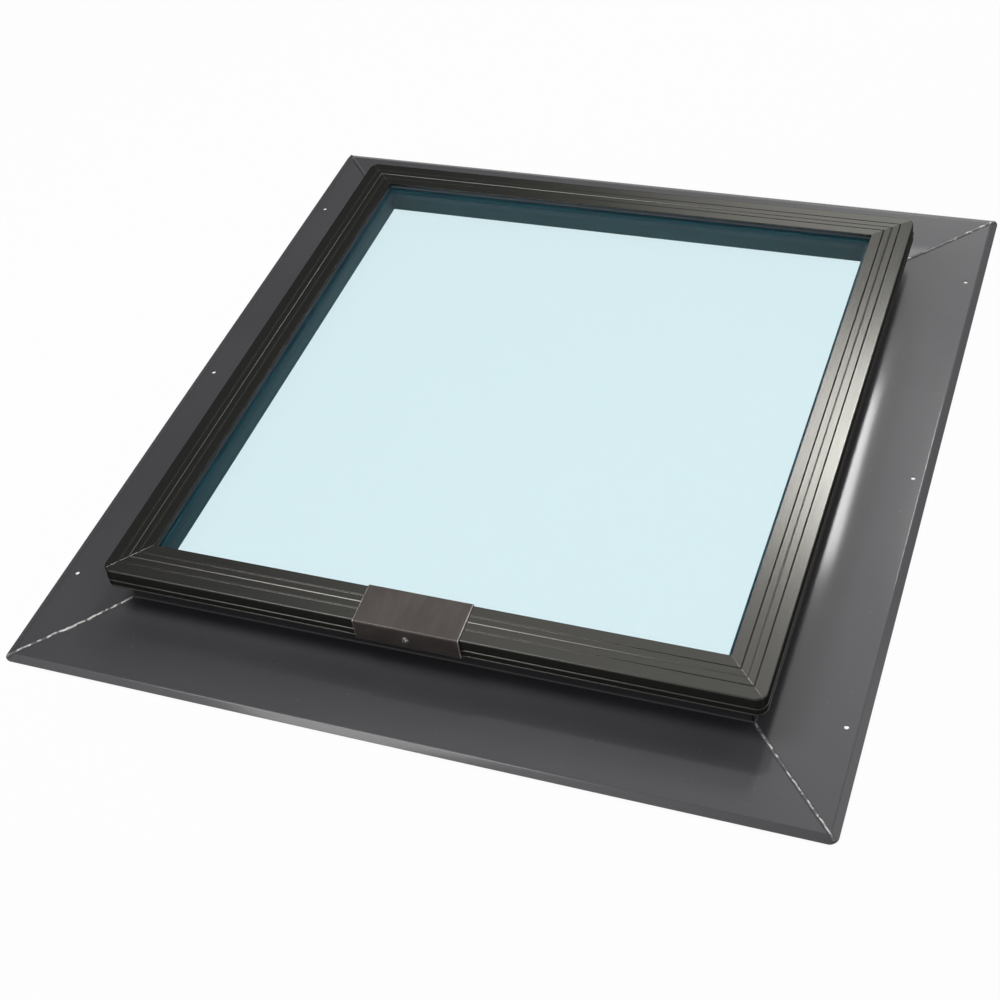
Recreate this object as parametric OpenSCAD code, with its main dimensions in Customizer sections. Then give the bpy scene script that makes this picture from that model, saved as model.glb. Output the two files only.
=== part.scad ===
// Fixed roof skylight on a self-flashing flange: four welded flashing sheets, an inner liner,
// a sealed double glazing unit, and a one-piece cap frame that hooks under the curb.
// Millimetres, +Z up. The sill is on the -Y side and the left side is on -X.
// Profiles are drawn as (u, z): u runs outward from the cap frame's inner edge, z is height.

/* [Opening] */
// Clear width between the cap frame's inner edges
clear_w = 571; // [450:1:760]
// Clear length between the cap frame's inner edges
clear_l = 602; // [450:1:1200]

/* [Flashing] */
// Flange reach at the left and right, from the cap frame's inner edge to the edge fold
flange_side = 112; // [90:0.5:150]
// Flange reach at the sill and head, from the cap frame's inner edge to the edge fold
flange_end = 119.5; // [90:0.5:150]
// Thickness of the flashing sheet
sheet_t = 1.5; // [1.2:0.1:1.6]
// Inside radius of the curb's folds
bend_r = 2; // [1.5:0.1:3]
// Run of the kicked-down outer edge
kick_run = 7.2; // [6:0.1:10]
// Drop of the kicked-down outer edge
kick_drop = 2.8; // [2:0.1:3.5]
// Width of the flat on which the kicked edge rests
foot_w = 1.2; // [0.8:0.1:2]
// Radius of the flange's four corners
tip_r = 8; // [5:0.5:12]
// Height of the curb above the flange
curb_h = 35.7; // [25:0.1:45]
// Width of the curb's outward return
return_w = 11.4; // [6:0.1:14]
// Radius of the return's corners
return_r = 7; // [3:0.5:12]
// Diameter of the nail holes
nail_d = 4.5; // [3.5:0.1:6]
// Nail holes, inward from the edge fold
nail_inset = 10; // [8:0.5:20]
// Pitch of the nail holes along each side
nail_pitch = 310; // [200:5:320]

/* [Corner welds] */
// Radius of the bead
weld_r = 2.4; // [2:0.1:3]
// Depth to which the bead's centre is sunk in the sheet
weld_sink = 1.2; // [0.6:0.1:1.6]

/* [Liner] */
// Inner face of the liner, outward from the cap frame's inner edge
liner_u = 2; // [0:0.5:4]
// Wall thickness of the liner
liner_t = 3; // [2:0.1:4]
// Height of the liner's lower edges above the flange
liner_foot_h = 14; // [5:0.5:20]
// Depth of the ledge for the glass below the curb's top
ledge_drop = 4.6; // [0:0.1:8]
// Thickness of the back wall beside the glass
back_wall_t = 7; // [5:0.1:12]

/* [Glazing] */
// Edge of the glass, outward from the cap frame's inner edge
glass_u = 13; // [11:0.1:16]
// Thickness of each pane
pane_t = 4; // [3:0.5:6]
// Gap between the panes
pane_gap = 11; // [6:0.5:16]
// Inner face of the spacer bar, outward from the cap frame's inner edge; it shows inside the frame
spacer_u = -4; // [-6:0.5:4]
// Width of the spacer bar
spacer_w = 6.5; // [5:0.1:7]
// Inner edge of the bed gasket, outward from the cap frame's inner edge
bed_u = 3; // [2.5:0.5:6]
// Setback of the bed gasket from the edge of the glass
bed_set = 1; // [0:0.1:2]
// Thickness of the bed gasket
bed_t = 1.5; // [1:0.1:3]
// Inner face of the cap gasket, outward from the cap frame's inner edge
seal_u = 0.6; // [0.2:0.1:1.5]
// Setback of the cap gasket from the edge of the glass
seal_set = 2; // [0:0.1:4]
// Thickness of the setting blocks, which is the room round the edge of the glass
block_t = 3.5; // [2:0.1:6]
// Length of each setting block
block_l = 80; // [50:5:100]

/* [Cap frame] */
// Height of its inner edge above the glass
cap_rise = 5.4; // [5.2:0.1:9]
// Fall of its sloping top from the inner edge to the outer edge
cap_fall = 3.1; // [1:0.1:9]
// Wall thickness of the extrusion
cap_t = 1.8; // [1.5:0.1:2]
// Room between the curb's return and the skirt
skirt_gap = 1.3; // [0.5:0.1:4]
// Stand-out of the skirt's two ribs, and half of their height
rib_r = 0.9; // [0.5:0.1:1.2]
// Place of the upper rib, as a share of the skirt's height from its top
rib_share = 0.61; // [0.3:0.01:0.7]
// Radius of the grooves in the top
groove_r = 0.7; // [0.4:0.1:1]
// Places of the grooves, as shares of the top's width from its inner edge
groove_shares = [0.285, 0.47, 0.67]; // [0.1:0.005:0.9]
// Gap between the two ends of the extrusion at the sill
joint_gap = 1; // [0.5:0.1:3]

/* [Splice cover] */
// Width of the cover along the sill
cover_w = 104; // [80:1:160]
// Middle of the cover, sideways from the joint
cover_x = -5; // [-10:0.5:0]
// Thickness of the cover plate
cover_t = 1.5; // [1:0.1:1.8]
// Depth of the lip turned down at the cap frame's inner edge
cover_lip = 3.5; // [2:0.1:4]
// Width of the hem under the skirt
cover_hem = 5; // [3:0.5:6]

/* [Splice screw] */
// Place of the screw, sideways from the joint
screw_x = -6.2; // [-10:0.1:-5]
// Height of the screw, as a share of the skirt's height from its foot
screw_share = 0.46; // [0.4:0.01:0.65]
// Diameter of the screw's shank
screw_d = 4; // [3:0.1:4.5]
// Length of the shank under the head
screw_l = 11; // [8:0.5:12]
// Diameter of the head
head_d = 7.6; // [6.5:0.1:9]
// Height of the head
head_h = 2.2; // [2:0.1:2.6]
// Width of each slot of the cross recess
recess_w = 1; // [0.8:0.1:1.2]
// Length of each slot of the cross recess
recess_l = 4.4; // [3.5:0.1:5]
// Depth of the cross recess
recess_depth = 1.2; // [0.8:0.1:1.4]
// Clearance round the shank in the cover and the skirt
screw_gap = 0.1; // [0.05:0.05:0.3]

/* [Hidden] */
$fn = 64;
// Sides, in anticlockwise order from the front
SIDES = ["sill", "right", "head", "left"];
// Length by which a cutting solid runs past what it cuts
over = 10;
half_share = 0.5;
right_angle = 90;
// Length by which the grooves run past their mitres, so that they open into each other
groove_lap = groove_r * half_share;
// Places outward from the cap frame's inner edge
back_u = glass_u + block_t;
curb_in_u = back_u + back_wall_t;
curb_u = curb_in_u + sheet_t;
flat_u = curb_u + bend_r;
return_u = curb_u + return_w;
cap_w = return_u + skirt_gap + cap_t;
groove_wall_u = curb_in_u - liner_t;
spacer_out_u = spacer_u + spacer_w;
rib_u = cap_w + rib_r;
cover_u = rib_u + cover_t;
// Heights above the feet of the kicked edge
flange_z = kick_drop + sheet_t;
curb_z = flange_z + curb_h;
return_z = curb_z - sheet_t;
liner_foot_z = flange_z + liner_foot_h;
ledge_z = curb_z - ledge_drop;
unit_foot_z = ledge_z + bed_t;
gap_foot_z = unit_foot_z + pane_t;
gap_top_z = gap_foot_z + pane_gap;
glass_z = gap_top_z + pane_t;
cap_in_z = glass_z + cap_rise;
cap_out_z = cap_in_z - cap_fall;
skirt_z = return_z - cap_t;
screw_z = skirt_z + screw_share * (cap_out_z - skirt_z);
top_z = cap_in_z + cover_t + over;
// Fall of the cap's top for each unit outward, and the upright thickness that goes with it
cap_slope = cap_fall / cap_w;
slope_stretch = sqrt(1 + cap_slope * cap_slope);
cap_leg = cap_t * slope_stretch;
cover_leg = cover_t * slope_stretch;
// Outlines
cap_outer_w = clear_w + 2 * cap_w;
cap_outer_l = clear_l + 2 * cap_w;
flange_outer_w = clear_w + 2 * (flange_side + kick_run);
flange_outer_l = clear_l + 2 * (flange_end + kick_run);
cap_r = return_r + skirt_gap + cap_t;
// Start of a weld, clear of the curb's fold
weld_start = norm([bend_r + weld_r, bend_r + weld_r]);

// Quarter turns from the sill to a side, the side after it, and whether it is the sill or the head
function quarter(side) = search([side], SIDES)[0];
function next(side) = SIDES[(quarter(side) + 1) % len(SIDES)];
function is_end(side) = side == "sill" || side == "head";
// Half of the clear opening along a side, and from the middle out to that side
function half_run(side) = (is_end(side) ? clear_w : clear_l) / 2;
function half_off(side) = (is_end(side) ? clear_l : clear_w) / 2;
// Flange reach outward from a side, without and with its kicked edge
function reach(side) = is_end(side) ? flange_end : flange_side;
function edge_u(side) = reach(side) + kick_run;
// Sideways run of the flashing's mitre for each unit outward
function mitre_ratio(side) = (edge_u(next(side)) - curb_u) / (edge_u(side) - curb_u);
// Height of the cap's top and of its underside
function cap_top(u) = cap_in_z - cap_slope * u;
function cap_under(u) = cap_top(u) - cap_leg;

// Turns what is drawn for the sill to one of the four sides
module on_side(side) {
  rotate([0, 0, right_angle * quarter(side)]) children();
}

// Profile run along one side and cut at both ends by mitre planes through the point at pivot_u,
// or past them by a lap where the profiles of two sides are to run into each other
module mitred_side(side, far_u, ratio = 1, pivot_u = 0, lap = 0) {
  run = half_run(side) + pivot_u + lap;
  near_x = run - (pivot_u + over) * ratio;
  far_x = run + (far_u + over - pivot_u) * ratio;
  near_y = over - half_off(side);
  far_y = -half_off(side) - far_u - over;
  on_side(side)
    intersection() {
      translate([0, -half_off(side), 0])
        rotate([right_angle, 0, -right_angle])
          linear_extrude(height = 2 * far_x, center = true) children();
      translate([0, 0, -over])
        linear_extrude(height = top_z + 2 * over)
          polygon([[-near_x, near_y], [near_x, near_y], [far_x, far_y], [-far_x, far_y]]);
    }
}

// Rectangle with true round corners
module rounded_rect(w, l, r) {
  square([w - 2 * r, l], center = true);
  square([w, l - 2 * r], center = true);
  for (sx = [-1, 1], sy = [-1, 1])
    translate([sx * (w / 2 - r), sy * (l / 2 - r)]) circle(r);
}

// Rectangular ring between two places outward from the cap frame's inner edge
module ring(near_u, far_u, z, h) {
  translate([0, 0, z])
    linear_extrude(height = h)
      difference() {
        square([clear_w + 2 * far_u, clear_l + 2 * far_u], center = true);
        square([clear_w + 2 * near_u, clear_l + 2 * near_u], center = true);
      }
}

// Pane that reaches to the edge of the glass
module pane(z) {
  translate([0, 0, z])
    linear_extrude(height = pane_t)
      square([clear_w + 2 * glass_u, clear_l + 2 * glass_u], center = true);
}

// Quarter turn of the sheet towards the curb, with the fold's centre at the origin
module fold() {
  intersection() {
    difference() {
      circle(bend_r + sheet_t);
      circle(bend_r);
    }
    translate([-over, 0]) square(over);
  }
}

// Profile of a flashing sheet: kicked edge, flange, curb and outward return
module flashing_profile(side) {
  fold_u = reach(side);
  far_u = edge_u(side);
  under_z = flange_z - sheet_t;
  polygon([[flat_u, under_z], [fold_u, under_z], [far_u - foot_w, 0], [far_u, 0], [far_u, sheet_t],
           [fold_u, flange_z], [flat_u, flange_z]]);
  translate([flat_u, flange_z + bend_r]) mirror([0, 1]) fold();
  translate([curb_in_u, flange_z + bend_r]) square([sheet_t, return_z - flange_z - 2 * bend_r]);
  translate([flat_u, return_z - bend_r]) fold();
  translate([flat_u, return_z]) square([return_w - bend_r, sheet_t]);
}

// All that lies outside the round-cornered outline of the curb's return, from the skirt's foot up
module outside_return() {
  translate([0, 0, skirt_z])
    linear_extrude(height = top_z)
      difference() {
        square([flange_outer_w, flange_outer_l], center = true);
        rounded_rect(clear_w + 2 * return_u, clear_l + 2 * return_u, return_r);
      }
}

module nail_holes(side) {
  on_side(side)
    for (step = [-1, 0, 1])
      translate([step * nail_pitch, nail_inset - half_off(side) - reach(side), -over])
        cylinder(h = flange_z + 2 * over, d = nail_d);
}

module flashing(side) {
  color("dimgray")
    difference() {
      intersection() {
        mitred_side(side, edge_u(side), mitre_ratio(side), curb_u) flashing_profile(side);
        translate([0, 0, -over])
          linear_extrude(height = top_z + over) rounded_rect(flange_outer_w, flange_outer_l, tip_r);
      }
      outside_return();
      if (!is_end(side)) nail_holes(side);
    }
}

// Bead along the mitre between a side and the next one, from the curb's fold to the edge fold
module weld(side) {
  run_x = edge_u(next(side)) - curb_u;
  run_y = edge_u(side) - curb_u;
  fold_share = (reach(side) - curb_u) / run_y;
  bead_l = norm([run_x, run_y]) * fold_share - weld_start - weld_r;
  color("lightgray")
    on_side(side)
      translate([half_run(side) + curb_u, -half_off(side) - curb_u, flange_z])
        rotate([0, 0, -atan2(run_y, run_x)])
          translate([weld_start, 0, 0])
            rotate([right_angle, 0, right_angle])
              linear_extrude(height = bead_l)
                intersection() {
                  translate([0, -weld_sink]) circle(weld_r);
                  translate([-weld_r, 0]) square(2 * weld_r);
                }
}

// Liner: a groove for the shaft's lining board, a ledge for the glass, a back wall and a shoulder
module liner(side) {
  color("darkslategray")
    difference() {
      mitred_side(side, return_u)
        polygon([[liner_u, liner_foot_z], [liner_u + liner_t, liner_foot_z],
                 [liner_u + liner_t, ledge_z - liner_t], [groove_wall_u, ledge_z - liner_t],
                 [groove_wall_u, liner_foot_z], [curb_in_u, liner_foot_z], [curb_in_u, curb_z],
                 [return_u, curb_z], [return_u, curb_z + liner_t], [curb_in_u, curb_z + liner_t],
                 [curb_in_u, gap_top_z], [back_u, gap_top_z], [back_u, ledge_z], [liner_u, ledge_z]]);
      outside_return();
    }
}

module bed_gasket() {
  color("black") ring(bed_u, glass_u - bed_set, ledge_z, bed_t);
}

module inner_pane() {
  color("lightcyan", 0.5) pane(unit_foot_z);
}

module glass_spacer() {
  color("slategray") ring(spacer_u, spacer_out_u, gap_foot_z, pane_gap);
}

module edge_seal() {
  color("black") ring(spacer_out_u, glass_u, gap_foot_z, pane_gap);
}

module outer_pane() {
  color("lightcyan", 0.5) pane(gap_top_z);
}

// Two blocks a side, between the edge of the glass and the liner's back wall
module setting_blocks() {
  color("dimgray")
    for (side = SIDES, sx = [-1, 1])
      on_side(side)
        translate([sx * half_run(side) * half_share, -half_off(side) - back_u, ledge_z])
          translate([-block_l / 2, 0, 0]) cube([block_l, block_t, gap_top_z - ledge_z]);
}

// Wedge between the glass and the underside of the cap's sloping top
module cap_gasket() {
  far_u = glass_u - seal_set;
  color("black")
    for (side = SIDES)
      mitred_side(side, far_u)
        polygon([[seal_u, glass_z], [far_u, glass_z], [far_u, cap_under(far_u)],
                 [seal_u, cap_under(seal_u)]]);
}

// Solid plate with the cap frame's outline, grown or shrunk, between two heights
module cap_plate(grow, low_z, high_z) {
  translate([0, 0, low_z])
    linear_extrude(height = high_z - low_z)
      rounded_rect(cap_outer_w + 2 * grow, cap_outer_l + 2 * grow, cap_r + grow);
}

// All that lies under the cap's four sloping planes, lowered by a given depth
module under_slopes(depth) {
  far_u = cap_w + over;
  intersection_for(side = ["sill", "right"]) {
    near_y = half_off(side) - over;
    far_y = half_off(side) + far_u;
    on_side(side)
      rotate([right_angle, 0, -right_angle])
        linear_extrude(height = 2 * (half_run(side) + far_u), center = true)
          polygon([[-far_y, -over], [far_y, -over], [far_y, cap_top(far_u) - depth],
                   [near_y, cap_top(-over) - depth], [-near_y, cap_top(-over) - depth],
                   [-far_y, cap_top(far_u) - depth]]);
  }
}

// Groove that runs round the cap's top, mitred at its corners
module cap_groove(u) {
  for (side = SIDES)
    mitred_side(side, u, lap = groove_lap)
      translate([u, cap_top(u) + groove_r * half_share]) circle(groove_r);
}

module screw_bore(d) {
  translate([screw_x, -half_off("sill") - cover_u - over, screw_z])
    rotate([-right_angle, 0, 0]) cylinder(h = screw_l + over, d = d);
}

// Skirt with its two ribs, hooked under the curb's return, and the grooved sloping top
module cap_frame() {
  rib_z = cap_out_z - rib_share * (cap_out_z - skirt_z);
  color("darkslategray")
    difference() {
      intersection() {
        union() {
          cap_plate(rib_r, skirt_z, skirt_z + 2 * rib_r);
          cap_plate(0, skirt_z + rib_r, top_z);
          cap_plate(rib_r, rib_z - rib_r, rib_z + rib_r);
        }
        under_slopes(0);
      }
      intersection() {
        cap_plate(-cap_t, return_z, top_z);
        under_slopes(cap_leg);
      }
      translate([0, 0, -over])
        linear_extrude(height = return_z + 2 * over)
          square([clear_w + 2 * flat_u, clear_l + 2 * flat_u], center = true);
      linear_extrude(height = top_z) square([clear_w, clear_l], center = true);
      for (share = groove_shares)
        cap_groove(share * cap_w);
      translate([-joint_gap / 2, -half_off("sill") - cap_w - over, -over])
        cube([joint_gap, cap_w + 2 * over, top_z + 2 * over]);
      screw_bore(screw_d + screw_gap);
    }
}

// Plate folded over the joint: inner lip, sloping top, front and hem
module splice_cover() {
  hem_z = skirt_z - cover_t;
  color("dimgray")
    difference() {
      translate([cover_x, -half_off("sill"), 0])
        rotate([right_angle, 0, -right_angle])
          linear_extrude(height = cover_w, center = true)
            polygon([[0, cap_in_z], [rib_u, cap_top(rib_u)], [rib_u, skirt_z],
                     [rib_u - cover_hem, skirt_z], [rib_u - cover_hem, hem_z], [cover_u, hem_z],
                     [cover_u, cap_top(cover_u) + cover_leg], [-cover_t, cap_in_z + cover_leg],
                     [-cover_t, cap_in_z - cover_lip], [0, cap_in_z - cover_lip]]);
      screw_bore(screw_d + 2 * screw_gap);
    }
}

// Self-tapping screw with a domed head and a cross recess, along +Y
module splice_screw() {
  dome_r = (head_h * head_h + head_d * head_d / 4) / (2 * head_h);
  color("dimgray")
    translate([screw_x, -half_off("sill") - cover_u, screw_z])
      rotate([-right_angle, 0, 0]) {
        cylinder(h = screw_l, d = screw_d);
        difference() {
          translate([0, 0, -head_h])
            intersection() {
              translate([0, 0, dome_r]) sphere(dome_r);
              cylinder(h = head_h, d = head_d);
            }
          for (turn = [0, right_angle])
            rotate([0, 0, turn])
              translate([-recess_l / 2, -recess_w / 2, -head_h - over])
                cube([recess_l, recess_w, over + recess_depth]);
        }
      }
}

flashing("sill");  // flashing_sill
flashing("right");  // flashing_right
flashing("head");  // flashing_head
flashing("left");  // flashing_left
weld("left");  // weld_sill_left
weld("sill");  // weld_sill_right
weld("right");  // weld_head_right
weld("head");  // weld_head_left
liner("sill");  // liner_sill
liner("right");  // liner_right
liner("head");  // liner_head
liner("left");  // liner_left
bed_gasket();
inner_pane();
glass_spacer();
edge_seal();
outer_pane();
setting_blocks();
cap_gasket();
cap_frame();
splice_cover();
splice_screw();
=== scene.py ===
"""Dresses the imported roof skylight: coated flashing, corner welds, bronze cap frame, glass and studio."""

import logging
import math
from abc import ABC, abstractmethod
from dataclasses import dataclass
from enum import Enum
from typing import Callable, Sequence

import bmesh
import bpy
from mathutils import Matrix, Vector


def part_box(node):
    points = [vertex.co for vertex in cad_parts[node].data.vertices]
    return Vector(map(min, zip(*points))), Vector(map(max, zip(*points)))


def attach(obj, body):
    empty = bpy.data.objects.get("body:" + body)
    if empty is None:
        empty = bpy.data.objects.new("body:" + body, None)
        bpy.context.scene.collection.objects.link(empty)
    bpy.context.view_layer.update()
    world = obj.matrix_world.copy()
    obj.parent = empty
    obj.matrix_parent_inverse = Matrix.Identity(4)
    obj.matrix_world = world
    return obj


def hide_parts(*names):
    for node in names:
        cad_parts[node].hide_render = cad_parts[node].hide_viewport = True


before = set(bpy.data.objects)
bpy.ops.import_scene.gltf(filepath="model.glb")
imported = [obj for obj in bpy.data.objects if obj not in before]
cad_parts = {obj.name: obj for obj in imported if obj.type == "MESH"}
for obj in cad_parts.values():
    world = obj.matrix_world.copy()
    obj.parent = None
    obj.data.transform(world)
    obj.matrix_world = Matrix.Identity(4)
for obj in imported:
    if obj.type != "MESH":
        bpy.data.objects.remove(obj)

LOG = logging.getLogger("skylight")
BODY = "root"
MM = 0.001
QUARTER = math.pi / 2
# Distance within which two points count as one
TOUCH = 0.01 * MM
# Size of the small plane that is merged to the first point of a drawn line
SEED_SIZE = 1 * MM
UP = Vector((0, 0, 1))

Colour = tuple[float, float, float]
Section = list[tuple[float, float]]
Test = Callable[[Vector], bool]


class Side(Enum):
    """A side of the window, by its quarter turns anticlockwise from the sill."""

    SILL = 0
    RIGHT = 1
    HEAD = 2
    LEFT = 3

    @property
    def next(self) -> "Side":
        """The side that follows, anticlockwise."""
        return Side((self.value + 1) % len(Side))

    @property
    def is_end(self) -> bool:
        """Whether this is the sill or the head."""
        return self in (Side.SILL, Side.HEAD)

    @property
    def along(self) -> Vector:
        """Direction that runs along the side, anticlockwise seen from above."""
        return Matrix.Rotation(self.value * QUARTER, 3, "Z") @ Vector((1, 0, 0))

    @property
    def outward(self) -> Vector:
        """Direction that points away from the window's middle."""
        return Matrix.Rotation(self.value * QUARTER, 3, "Z") @ Vector((0, -1, 0))


@dataclass(frozen=True)
class Layout:
    """Places that the pieces share, where u runs outward from the cap frame's inner edge."""

    half_w: float
    half_l: float
    glass_z: float
    flange_z: float
    return_z: float
    edge_side: float
    edge_end: float
    cap_in_z: float
    cap_foot_z: float
    cap_w: float
    glass_cover: float = 13 * MM
    cap_fall: float = 3.1 * MM
    cap_wall: float = 1.8 * MM
    rib_radius: float = 0.9 * MM
    sheet: float = 1.5 * MM
    curb_u: float = 25 * MM
    curb_bend: float = 2 * MM

    @classmethod
    def from_frame(cls) -> "Layout":
        """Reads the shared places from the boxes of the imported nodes.

        Returns:
            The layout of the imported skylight.
        """
        pane_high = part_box("outer_pane")[1]
        cap_low, cap_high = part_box("cap_frame")
        sill_low, sill_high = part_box("flashing_sill")
        half_w = pane_high.x - cls.glass_cover
        half_l = pane_high.y - cls.glass_cover
        return cls(
            half_w=half_w,
            half_l=half_l,
            glass_z=pane_high.z,
            flange_z=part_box("weld_sill_left")[0].z,
            return_z=sill_high.z - cls.sheet,
            edge_side=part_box("flashing_right")[1].x - half_w,
            edge_end=-sill_low.y - half_l,
            cap_in_z=cap_high.z,
            cap_foot_z=cap_low.z,
            cap_w=cap_high.x - cls.rib_radius - half_w,
        )

    @property
    def slope(self) -> float:
        """Fall of the cap's top for each unit outward."""
        return self.cap_fall / self.cap_w

    @property
    def leg(self) -> float:
        """Upright thickness of the cap's sloping top."""
        return self.cap_wall * math.hypot(1, self.slope)

    def half_run(self, side: Side) -> float:
        """Half of the clear opening along a side."""
        return self.half_w if side.is_end else self.half_l

    def half_off(self, side: Side) -> float:
        """Distance from the middle out to the cap's inner edge on a side."""
        return self.half_l if side.is_end else self.half_w

    def edge_u(self, side: Side) -> float:
        """Place of the flange's outer edge on a side."""
        return self.edge_end if side.is_end else self.edge_side

    def cap_top(self, u: float) -> float:
        """Height of the cap's sloping top."""
        return self.cap_in_z - self.slope * u

    def spot(self, side: Side, run: float, u: float, z: float) -> Vector:
        """Places a point of a side's section.

        Args:
            side: The side that the section belongs to.
            run: Distance along the side from its middle.
            u: Distance outward from the cap's inner edge.
            z: Height.

        Returns:
            The point in the part's frame.
        """
        return side.along * run + side.outward * (self.half_off(side) + u) + UP * z

    def outward_of(self, side: Side, point: Vector) -> float:
        """The u of a point, measured on one side."""
        return point.dot(side.outward) - self.half_off(side)

    def on_fold(self, side: Side, u: float, z: float) -> Test:
        """A test for the places on one fold along a side.

        Args:
            side: The side that the fold runs along.
            u: Place of the fold outward.
            z: Height of the fold.

        Returns:
            A test that says whether a place is on the fold.
        """
        def test(co: Vector) -> bool:
            """Whether a place is on the fold."""
            return abs(self.outward_of(side, co) - u) < TOUCH and abs(co.z - z) < TOUCH

        return test


def clear_selection() -> None:
    """Leaves edit mode and deselects every object."""
    if bpy.context.mode != "OBJECT":
        bpy.ops.object.mode_set(mode="OBJECT")
    bpy.ops.object.select_all(action="DESELECT")


def arc(centre: tuple[float, float], radius: float, start: float, end: float, steps: int) -> Section:
    """Points on a round stretch of a section.

    Args:
        centre: Centre of the arc.
        radius: Radius of the arc.
        start: First angle in degrees, from the outward direction towards up.
        end: Last angle in degrees.
        steps: Number of straight steps.

    Returns:
        The points from the first angle to the last.
    """
    angles = [math.radians(start + (end - start) * step / steps) for step in range(steps + 1)]
    return [(centre[0] + radius * math.cos(a), centre[1] + radius * math.sin(a)) for a in angles]


def heading(azimuth: float, elevation: float) -> Vector:
    """A direction in the studio.

    Args:
        azimuth: Degrees clockwise from the head side, seen from above.
        elevation: Degrees above the floor.

    Returns:
        The direction, of unit length.
    """
    turn, rise = math.radians(azimuth), math.radians(elevation)
    return Vector((math.sin(turn) * math.cos(rise), math.cos(turn) * math.cos(rise), math.sin(rise)))


class Workpiece:
    """One mesh on the bench, shaped with Blender's edit tools and kept at the origin."""

    def __init__(self, name: str) -> None:
        """Takes the primitive that was just added and puts its place into its mesh.

        Args:
            name: Name of the finished piece.
        """
        self.obj: bpy.types.Object = bpy.context.active_object
        self.obj.name = name
        self.obj.data.name = name
        bpy.ops.object.transform_apply(location=True, rotation=True, scale=True)

    @classmethod
    def line(cls, name: str, points: Sequence[Vector], closed: bool = False) -> "Workpiece":
        """Draws a line of edges by extruding one vertex from point to point.

        Args:
            name: Name of the finished piece.
            points: Points of the line in order.
            closed: Whether the last point is joined to the first.

        Returns:
            The piece, open in edit mode with the line selected.
        """
        clear_selection()
        bpy.ops.mesh.primitive_plane_add(size=SEED_SIZE, location=points[0])
        piece = cls(name)
        piece.edit()
        bpy.ops.mesh.merge(type="CENTER")
        for start, end in zip(points, points[1:]):
            bpy.ops.mesh.extrude_vertices_move(TRANSFORM_OT_translate={"value": tuple(end - start)})
        if closed:
            piece.select(lambda co: min((co - points[0]).length, (co - points[-1]).length) < TOUCH)
            bpy.ops.mesh.edge_face_add()
        bpy.ops.mesh.select_all(action="SELECT")
        return piece

    @classmethod
    def cylinder(cls, name: str, start: Vector, end: Vector, radius: float, facets: int) -> "Workpiece":
        """Adds a round bar between two points.

        Args:
            name: Name of the finished piece.
            start: Centre of its first end.
            end: Centre of its other end.
            radius: Radius of the bar.
            facets: Number of facets round it.

        Returns:
            The piece, in object mode.
        """
        clear_selection()
        axis = end - start
        bpy.ops.mesh.primitive_cylinder_add(
            vertices=facets,
            radius=radius,
            depth=axis.length,
            location=(start + end) / 2,
            rotation=axis.to_track_quat("Z", "Y").to_euler(),
        )
        return cls(name)

    def activate(self) -> None:
        """Selects this piece alone, in object mode."""
        clear_selection()
        self.obj.select_set(True)
        bpy.context.view_layer.objects.active = self.obj

    def edit(self) -> None:
        """Opens the piece in edit mode with all of it selected."""
        self.activate()
        bpy.ops.object.mode_set(mode="EDIT")
        bpy.ops.mesh.select_mode(type="VERT")
        bpy.ops.mesh.select_all(action="SELECT")

    def select(self, test: Test) -> None:
        """Selects, in edit mode, the vertices where the test holds and what lies between them.

        Args:
            test: Says whether a place is selected.
        """
        bpy.ops.mesh.select_all(action="DESELECT")
        mesh = bmesh.from_edit_mesh(self.obj.data)
        for vertex in mesh.verts:
            vertex.select = test(vertex.co)
        mesh.select_flush(True)
        bmesh.update_edit_mesh(self.obj.data)

    def sweep(self, step: Vector, count: int = 1) -> None:
        """Draws the selected edges out into a strip.

        Args:
            step: Travel of each step.
            count: Number of steps.
        """
        for _ in range(count):
            bpy.ops.mesh.extrude_region_move(TRANSFORM_OT_translate={"value": tuple(step)})

    def turn(self, centre: Vector, angle: float, steps: int) -> None:
        """Spins the selected edges about an upright axis.

        Args:
            centre: Point on the axis.
            angle: Angle in radians, anticlockwise seen from above.
            steps: Number of steps.
        """
        bpy.ops.mesh.spin(steps=steps, angle=angle, center=tuple(centre), axis=tuple(-UP))

    def cut(self, point: Vector, normal: Vector, fill: bool = False, where: Test | None = None) -> None:
        """Bisects the piece, in edit mode, and removes what lies on the normal's side.

        Args:
            point: Point on the plane.
            normal: Direction of what is removed.
            fill: Whether the cut is closed with a face.
            where: Limits the cut to what lies where the test holds.
        """
        if where:
            self.select(where)
        else:
            bpy.ops.mesh.select_all(action="SELECT")
        bpy.ops.mesh.bisect(
            plane_co=tuple(point),
            plane_no=tuple(normal.normalized()),
            use_fill=fill,
            clear_outer=True,
            threshold=TOUCH / 10,
        )

    def round_corner(
        self,
        side: Side,
        end: int,
        centre: Vector,
        radius: float,
        planes: int,
        fill: bool = False,
        where: Test | None = None,
    ) -> None:
        """Rounds a side's half of a corner, in edit mode, by cuts along tangent planes.

        Args:
            side: The side that the half belongs to.
            end: Which end of the side, -1 or 1.
            centre: Centre of the rounding.
            radius: Radius of the corner.
            planes: Number of cuts.
            fill: Whether the cuts are closed with faces.
            where: Limits the cuts to what lies where the test holds.
        """
        for step in range(planes):
            angle = QUARTER / 2 * (step + 0.5) / planes
            direction = side.outward * math.cos(angle) + side.along * (end * math.sin(angle))
            self.cut(centre + direction * radius, direction, fill, where)

    def fold(self, test: Test, radius: float, segments: int = 5) -> None:
        """Rounds the edges, in edit mode, that lie where the test holds.

        Args:
            test: Says whether a place is on the fold.
            radius: Distance of the rounding's ends from the edge.
            segments: Number of steps round the fold.
        """
        self.select(test)
        bpy.ops.mesh.bevel(offset=radius, offset_type="OFFSET", segments=segments, affect="EDGES")

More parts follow.
